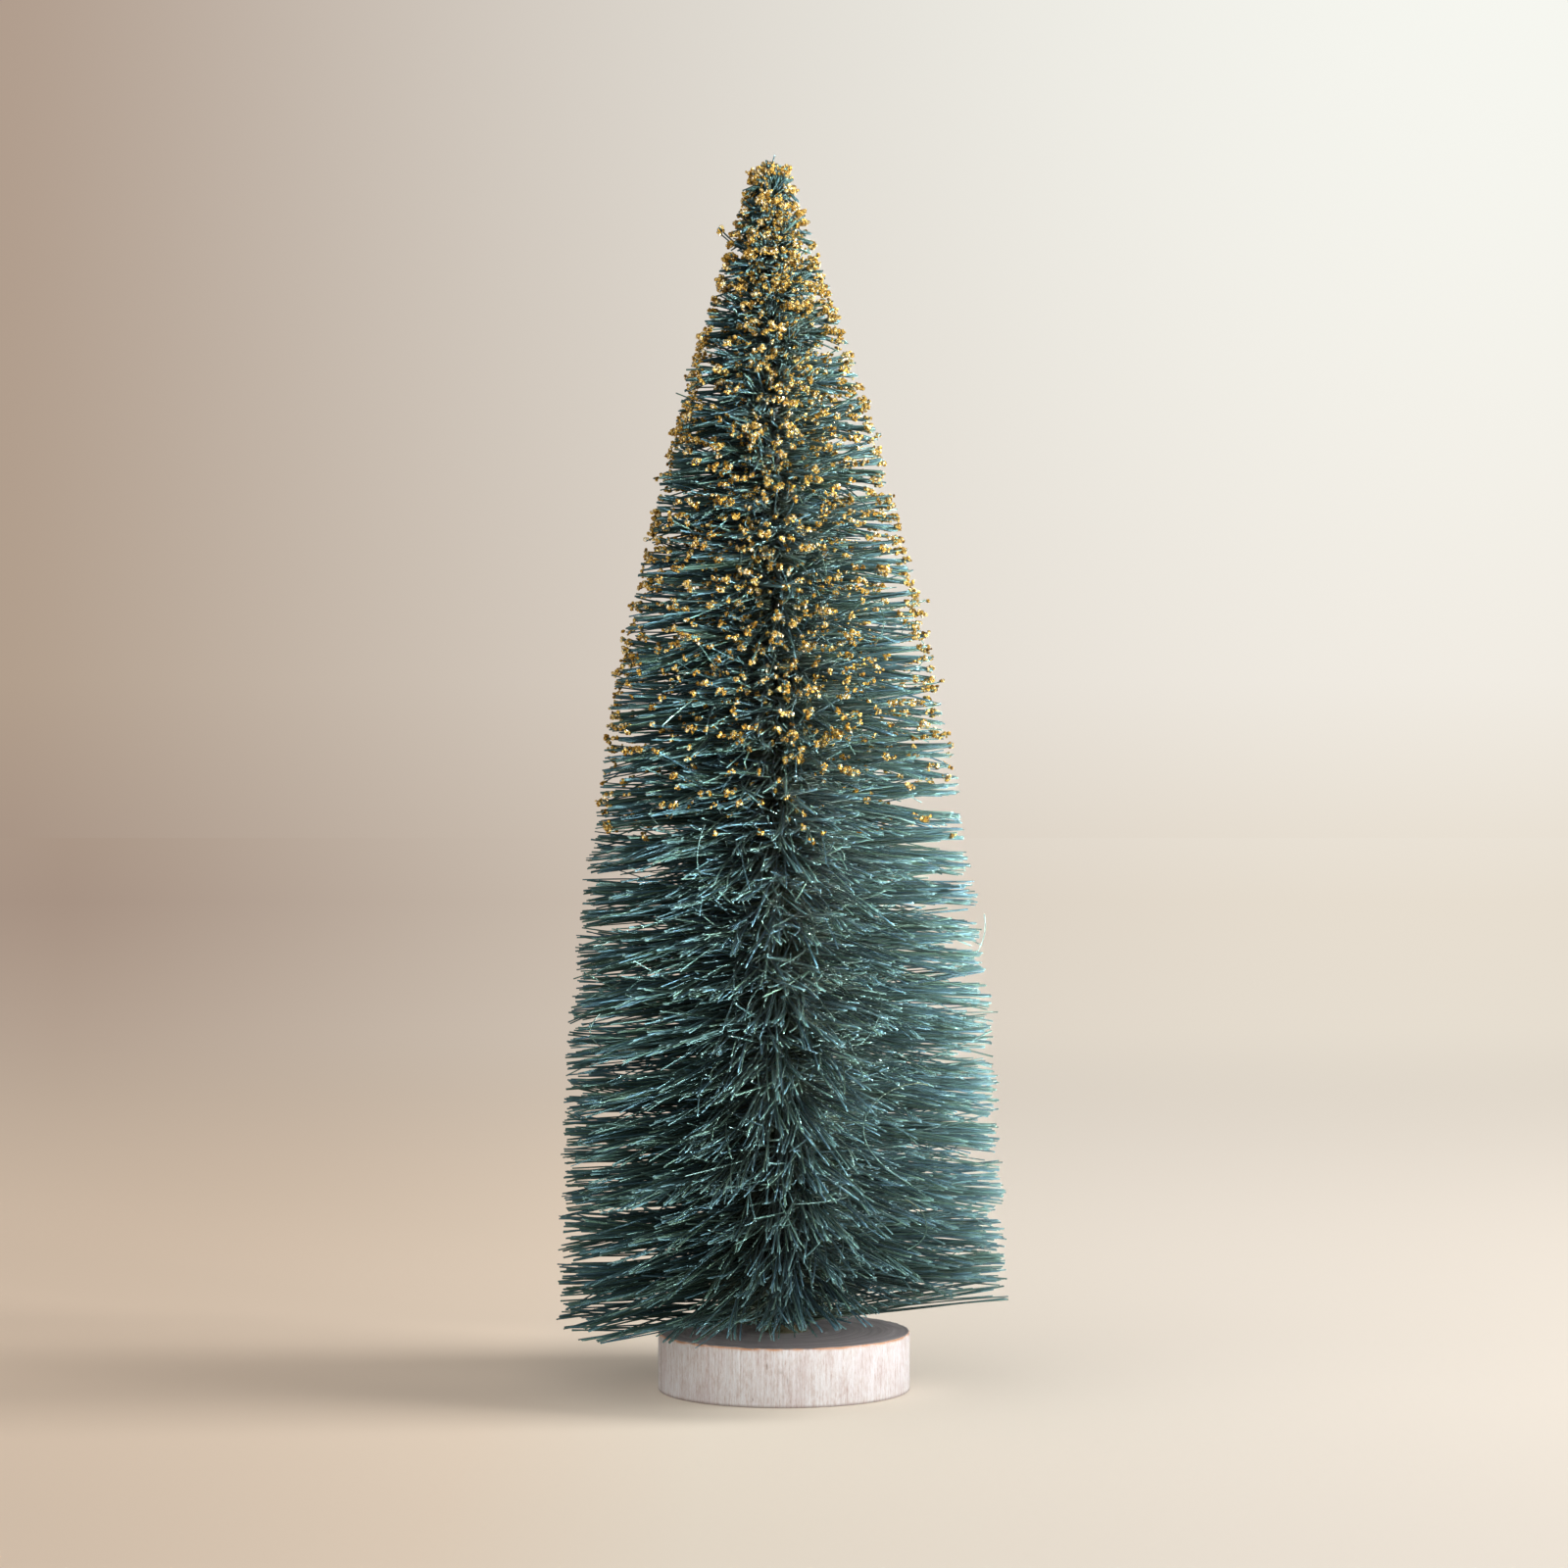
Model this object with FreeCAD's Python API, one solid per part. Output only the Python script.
import FreeCAD, Part

import math
import os

# Tabletop bottle-brush tree on a round wood disc, in millimetres with +Z up.
# The origin is the centre of the disc's underside, and the tree is seen from -Y.

# Overall sizes
tree_height = 305.0
brush_diameter = 111.0
brush_tip_diameter = 9.0
stem_lean_degrees = 0.7

# Wood disc
base_diameter = 62.5
base_thickness = 14.5
base_edge_break = 0.5
hole_floor = 3.5

# Twisted wire stem
wire_diameter = 1.8
pinch_gap = 0.5
wire_foot_gap = 0.5
wire_top_cover = 4.0
wire_clearance = 0.05
twist_start_degrees = 121.0
bends_per_turn = 4

# Glue in the hole and round the stem
glue_wall = 0.45
glue_fit = 0.05
glue_collar_diameter = 12.0
glue_collar_height = 1.6

# Brush of fibre, laid in tiers by the twist of the wires
tier_count = 24
tiers_per_turn = 2
brush_foot_gap = 1.4
tier_gap = 0.2
bore_clearance = 0.15
tuft_width = 6.4
tuft_depth = 21.0
least_tufts = 8
fan_root_height = 3.2
fan_rim_width = 4.0
lower_taper = 2.5
upper_taper = 4.5
widest_share = 0.35
wall_limit_share = 0.35
tuft_limit_share = 0.5
length_variation_share = 0.025

# Pinched middles of the fibres, between the wires
core_sections_per_turn = 12

# Gold grains, glued in clumps to the tips of the tufts on the upper tiers
clump_diameter = 2.2
clump_clearance = 0.1
gold_tiers = 14
gold_rise_tiers = 10
gold_fullest_share = 0.62
gold_rise_power = 1.3
ridge_seat_share = 0.5
crown_clumps = 6

# Shares that spread tuft lengths and gold seats evenly, the same way each time
tuft_step_share = 0.618034
tier_step_share = 0.754878
seat_step_share = 0.381966

# Places that follow from the sizes above
helix_radius = (wire_diameter + pinch_gap) / 2
stem_radius = helix_radius + wire_diameter / 2
bore_radius = stem_radius + bore_clearance
hole_radius = stem_radius + wire_clearance + glue_wall + glue_fit
clump_radius = clump_diameter / 2
clump_standoff = clump_radius + clump_clearance
brush_bottom = base_thickness + glue_collar_height + brush_foot_gap
brush_top = tree_height - clump_standoff - clump_radius
tier_pitch = (brush_top - brush_bottom) / tier_count
tier_height = tier_pitch - tier_gap
twist_pitch = tiers_per_turn * tier_pitch
wire_slope = math.atan(2 * math.pi * helix_radius / twist_pitch)
wire_end_reach = wire_diameter / 2 * math.sin(wire_slope)
wire_bottom = hole_floor + wire_foot_gap + wire_end_reach
wire_top = brush_top - wire_top_cover - wire_end_reach


def point(radius, angle, height):
    """A point from its distance to the stem, its direction and its height."""
    return FreeCAD.Vector(radius * math.cos(angle), radius * math.sin(angle), height)


def on_stem(height):
    """The point of the stem's upright axis at a height."""
    return FreeCAD.Vector(0, 0, height)


def leaned(shape):
    """The shape turned about the foot of the stem, so that its top leans towards -X."""
    turned = shape.copy()
    turned.rotate(on_stem(base_thickness), FreeCAD.Vector(0, 1, 0), -stem_lean_degrees)
    return turned


def twist_angle(height):
    """How far the twist has turned at a height."""
    return math.radians(twist_start_degrees) + 2 * math.pi * (height - wire_bottom) / twist_pitch


def outline_radius(height):
    """The brush's radius: a parabola that is steep at the tip and upright at the foot."""
    rise = (height - brush_bottom) / (brush_top - brush_bottom)
    swell = (brush_diameter - brush_tip_diameter) / 2
    return brush_tip_diameter / 2 + swell * (1 - rise * rise)


def even_spread(tuft, tier, seat=0):
    """A number from 0 to 1 that falls evenly over tufts, tiers and seats."""
    return (tuft * tuft_step_share + tier * tier_step_share + seat * seat_step_share) % 1


# Wood disc


def base_disc():
    """The disc, turned from a profile with both rims broken, with a blind hole for the stem."""
    rim = base_diameter / 2
    corners = [
        (0, 0),
        (rim - base_edge_break, 0),
        (rim, base_edge_break),
        (rim, base_thickness - base_edge_break),
        (rim - base_edge_break, base_thickness),
        (0, base_thickness),
        (0, 0),
    ]
    profile = Part.makePolygon([FreeCAD.Vector(across, 0, up) for across, up in corners])
    disc = Part.Face(profile).revolve(on_stem(0), FreeCAD.Vector(0, 0, 1), 360)
    hole = Part.makeCylinder(hole_radius, base_thickness, on_stem(hole_floor))
    return disc.cut(hole)


# Glue


def glue_collar():
    """The glue: a plug that fills the hole round the stem, and a low cone on the disc."""
    plug = Part.makeCylinder(
        hole_radius - glue_fit, base_thickness - hole_floor, on_stem(hole_floor)
    )
    cone = Part.makeCone(
        glue_collar_diameter / 2, hole_radius, glue_collar_height, on_stem(base_thickness)
    )
    room_foot = wire_bottom - wire_end_reach - glue_fit
    room = Part.makeCylinder(
        stem_radius + wire_clearance, brush_bottom - room_foot, on_stem(room_foot)
    )
    return plug.fuse(cone).cut(leaned(room))


# Twisted wires


def arc_between(start, end, corner):
    """The arc from start to end whose tangents meet at the corner."""
    middle = (start + end) / 2
    half_chord = (end - start).Length / 2
    rise = (corner - middle).Length
    half_turn = math.atan2(rise, half_chord) / 2
    crown = middle + (corner - middle).normalize() * half_chord * math.tan(half_turn)
    return Part.Arc(start, crown, end).toShape()


def biarc(start, start_way, end, end_way):
    """Two arcs that join smoothly halfway, and leave start and reach end along their ways."""
    span = end - start
    both_ways = start_way + end_way
    bend = both_ways.dot(both_ways) - 4
    along = span.dot(both_ways)
    reach = (along - math.sqrt(along * along - bend * span.dot(span))) / bend
    first_corner = start + start_way * reach
    last_corner = end - end_way * reach
    joint = (first_corner + last_corner) / 2
    return [arc_between(start, joint, first_corner), arc_between(joint, end, last_corner)]


def stem_wire(phase):
    """One of the two wires: a round section carried along a helix of biarcs."""
    turns = (wire_top - wire_bottom) / twist_pitch
    bends = math.ceil(turns * bends_per_turn)
    slope = FreeCAD.Vector(0, 0, twist_pitch / (2 * math.pi))
    places = []
    for bend in range(bends + 1):
        height = wire_bottom + (wire_top - wire_bottom) * bend / bends
        angle = twist_angle(height) + phase
        way = point(helix_radius, angle + math.pi / 2, 0) + slope
        places.append((point(helix_radius, angle, height), way.normalize()))
    edges = []
    for (start, start_way), (end, end_way) in zip(places, places[1:]):
        edges += biarc(start, start_way, end, end_way)
    foot, foot_way = places[0]
    section = Part.Wire(Part.makeCircle(wire_diameter / 2, foot, foot_way))
    return leaned(Part.Wire(edges).makePipeShell([section], True))


def pinched_core():
    """The web of fibre middles: a thin strip between the wires that turns with them."""
    half_thickness = pinch_gap / 2 - wire_clearance
    half_width = bore_radius - wire_clearance
    turns = (wire_top - brush_bottom) / twist_pitch
    steps = math.ceil(turns * core_sections_per_turn)
    corner_angle = math.atan2(half_thickness, half_width)
    corner_radius = math.hypot(half_thickness, half_width)
    turned = [corner_angle, math.pi - corner_angle, math.pi + corner_angle, -corner_angle]
    sections = []
    for step in range(steps + 1):
        height = brush_bottom + (wire_top - brush_bottom) * step / steps
        across = twist_angle(height) + math.pi / 2
        corners = [point(corner_radius, across + turn, height) for turn in turned]
        sections.append(Part.makePolygon(corners + corners[:1]))
    return leaned(Part.makeLoft(sections, True, True))


# Tiers of fibre


class Tier:
    """The sizes of one tier of tufts, counted from the foot of the brush."""

    def __init__(self, number):
        self.number = number
        self.bottom = brush_bottom + (number - 1) * tier_pitch + tier_gap / 2
        self.top = self.bottom + tier_height
        self.middle = self.bottom + tier_height * widest_share
        self.radius = outline_radius(self.middle)
        self.notch_radius = self.radius - self.limited(tuft_depth, self.radius, tuft_limit_share)
        top_radius = outline_radius(self.top)
        self.low_share = 1 - self.limited(lower_taper, self.radius) / self.radius
        self.top_share = (top_radius - self.limited(upper_taper, top_radius)) / self.radius
        round_length = 2 * math.pi * self.radius
        self.tufts = max(least_tufts, round(round_length / tuft_width))

    def limited(self, size, radius, limit_share=wall_limit_share):
        """The size, or a share of the fibre's depth round the bore where that is thin."""
        return min(size, limit_share * (radius - bore_radius))

    def tip_angle(self, tuft):
        """The direction of a tuft, set over by half a tuft from tier to tier."""
        return 2 * math.pi * (tuft + self.number / 2) / self.tufts

    def tip_radius(self, tuft):
        """How far a tuft reaches, some a little more than others."""
        offset = 2 * even_spread(tuft, self.number) - 1
        return self.radius * (1 + length_variation_share * offset)

    def outline(self, share, height):
        """The star of tips and notches at a height, drawn in to a share of its widest size."""
        half_tuft = math.pi / self.tufts
        corners = []
        for tuft in range(self.tufts):
            angle = self.tip_angle(tuft)
            corners.append(point(self.tip_radius(tuft) * share, angle, height))
            corners.append(point(self.notch_radius * share, angle + half_tuft, height))
        return corners + corners[:1]

    def hollow_radius(self, share):
        """How far the hollow under or over the fan reaches, short of the notches' ring."""
        ring_radius = self.notch_radius * share
        return ring_radius - self.limited(fan_rim_width, ring_radius)


def band(lower, upper):
    """The flat faces between two outlines that have the same shape."""
    faces = []
    for side in range(len(lower) - 1):
        corners = [lower[side], lower[side + 1], upper[side + 1], upper[side], lower[side]]
        faces.append(Part.Face(Part.makePolygon(corners)))
    return faces


def stem_room(tier):
    """What a tier leaves free: the stem's bore, and hollows where the fibre fans out from it."""
    fan_middle = (tier.bottom + tier.top) / 2
    foot = tier.bottom - tier_gap
    low_radius = tier.hollow_radius(tier.low_share)
    corners = [(0, foot), (low_radius, foot), (low_radius, tier.bottom)]
    corners.append((bore_radius, fan_middle - fan_root_height / 2))
    if tier.number < tier_count:
        head = tier.top + tier_gap
        top_radius = tier.hollow_radius(tier.top_share)
        corners.append((bore_radius, fan_middle + fan_root_height / 2))
        corners += [(top_radius, tier.top), (top_radius, head), (0, head)]
    else:
        cover = wire_top + wire_end_reach + bore_clearance
        corners += [(bore_radius, cover), (0, cover)]
    profile = [FreeCAD.Vector(across, 0, up) for across, up in corners + corners[:1]]
    return Part.Face(Part.makePolygon(profile)).revolve(on_stem(0), FreeCAD.Vector(0, 0, 1), 360)


def bristle_tier(tier):
    """A tier of tufts that fans out from the stem, widest low down."""
    low = tier.outline(tier.low_share, tier.bottom)
    wide = tier.outline(1, tier.middle)
    high = tier.outline(tier.top_share, tier.top)
    faces = [Part.Face(Part.makePolygon(low)), Part.Face(Part.makePolygon(high))]
    shell = Part.Shell(faces + band(low, wide) + band(wide, high))
    shell.sewShape()
    solid = Part.Solid(shell)
    if solid.Volume < 0:
        solid.reverse()
    return leaned(solid.cut(stem_room(tier)))


# Gold grains


def gold_share(number):
    """The share of a tier's seats that carry gold: none low down, most near the tip."""
    rise = (number - tier_count + gold_tiers) / gold_rise_tiers
    return gold_fullest_share * min(1, max(0, rise)) ** gold_rise_power


def clump_seats(tier, tuft):
    """Where gold may sit on a tuft: off its tip, and off the middle of its upper ridge."""
    tip_radius = tier.tip_radius(tuft)
    along = tip_radius * (tier.top_share - 1)
    up = tier.top - tier.middle
    ridge = math.hypot(along, up)
    angle = tier.tip_angle(tuft)
    ridge_radius = tip_radius + along * ridge_seat_share + clump_standoff * up / ridge
    ridge_height = tier.middle + up * ridge_seat_share - clump_standoff * along / ridge
    return [
        point(tip_radius + clump_standoff, angle, tier.middle),
        point(ridge_radius, angle, ridge_height),
    ]


def crown_seats(tier):
    """A clump on the flat top of the last tier, and a ring of clumps round it."""
    height = tier.top + clump_standoff
    step = 2 * math.pi / crown_clumps
    ring_radius = (clump_radius + clump_clearance / 2) / math.sin(step / 2)
    ring = [point(ring_radius, step * place, height) for place in range(crown_clumps)]
    return [on_stem(height)] + ring


def gold_grains(tier):
    """The clumps of gold grains on one tier."""
    seats = crown_seats(tier) if tier.number == tier_count else []
    for tuft in range(tier.tufts):
        for seat, place in enumerate(clump_seats(tier, tuft)):
            if even_spread(tuft, tier.number, seat + 1) < gold_share(tier.number):
                seats.append(place)
    return [Part.makeSphere(clump_radius, place) for place in seats]


def save(name, shape):
    """Writes one piece, and says how many solids it has and how large they are."""
    shape.exportStep(os.path.join("parts", name + ".step"))
    print(f"{name}: {len(shape.Solids)} solids, {shape.Volume:.1f} mm3, valid {shape.isValid()}")


os.makedirs("parts", exist_ok=True)
save("base_disc", base_disc())
save("glue_collar", glue_collar())
save("stem_wire_a", stem_wire(0))
save("stem_wire_b", stem_wire(math.pi))
save("pinched_fibre_core", pinched_core())
for number in range(1, tier_count + 1):
    tier = Tier(number)
    save(f"bristle_tier_{number:02d}", bristle_tier(tier))
    grains = gold_grains(tier)
    if grains:
        save(f"gold_grains_tier_{number:02d}", leaned(Part.makeCompound(grains)))
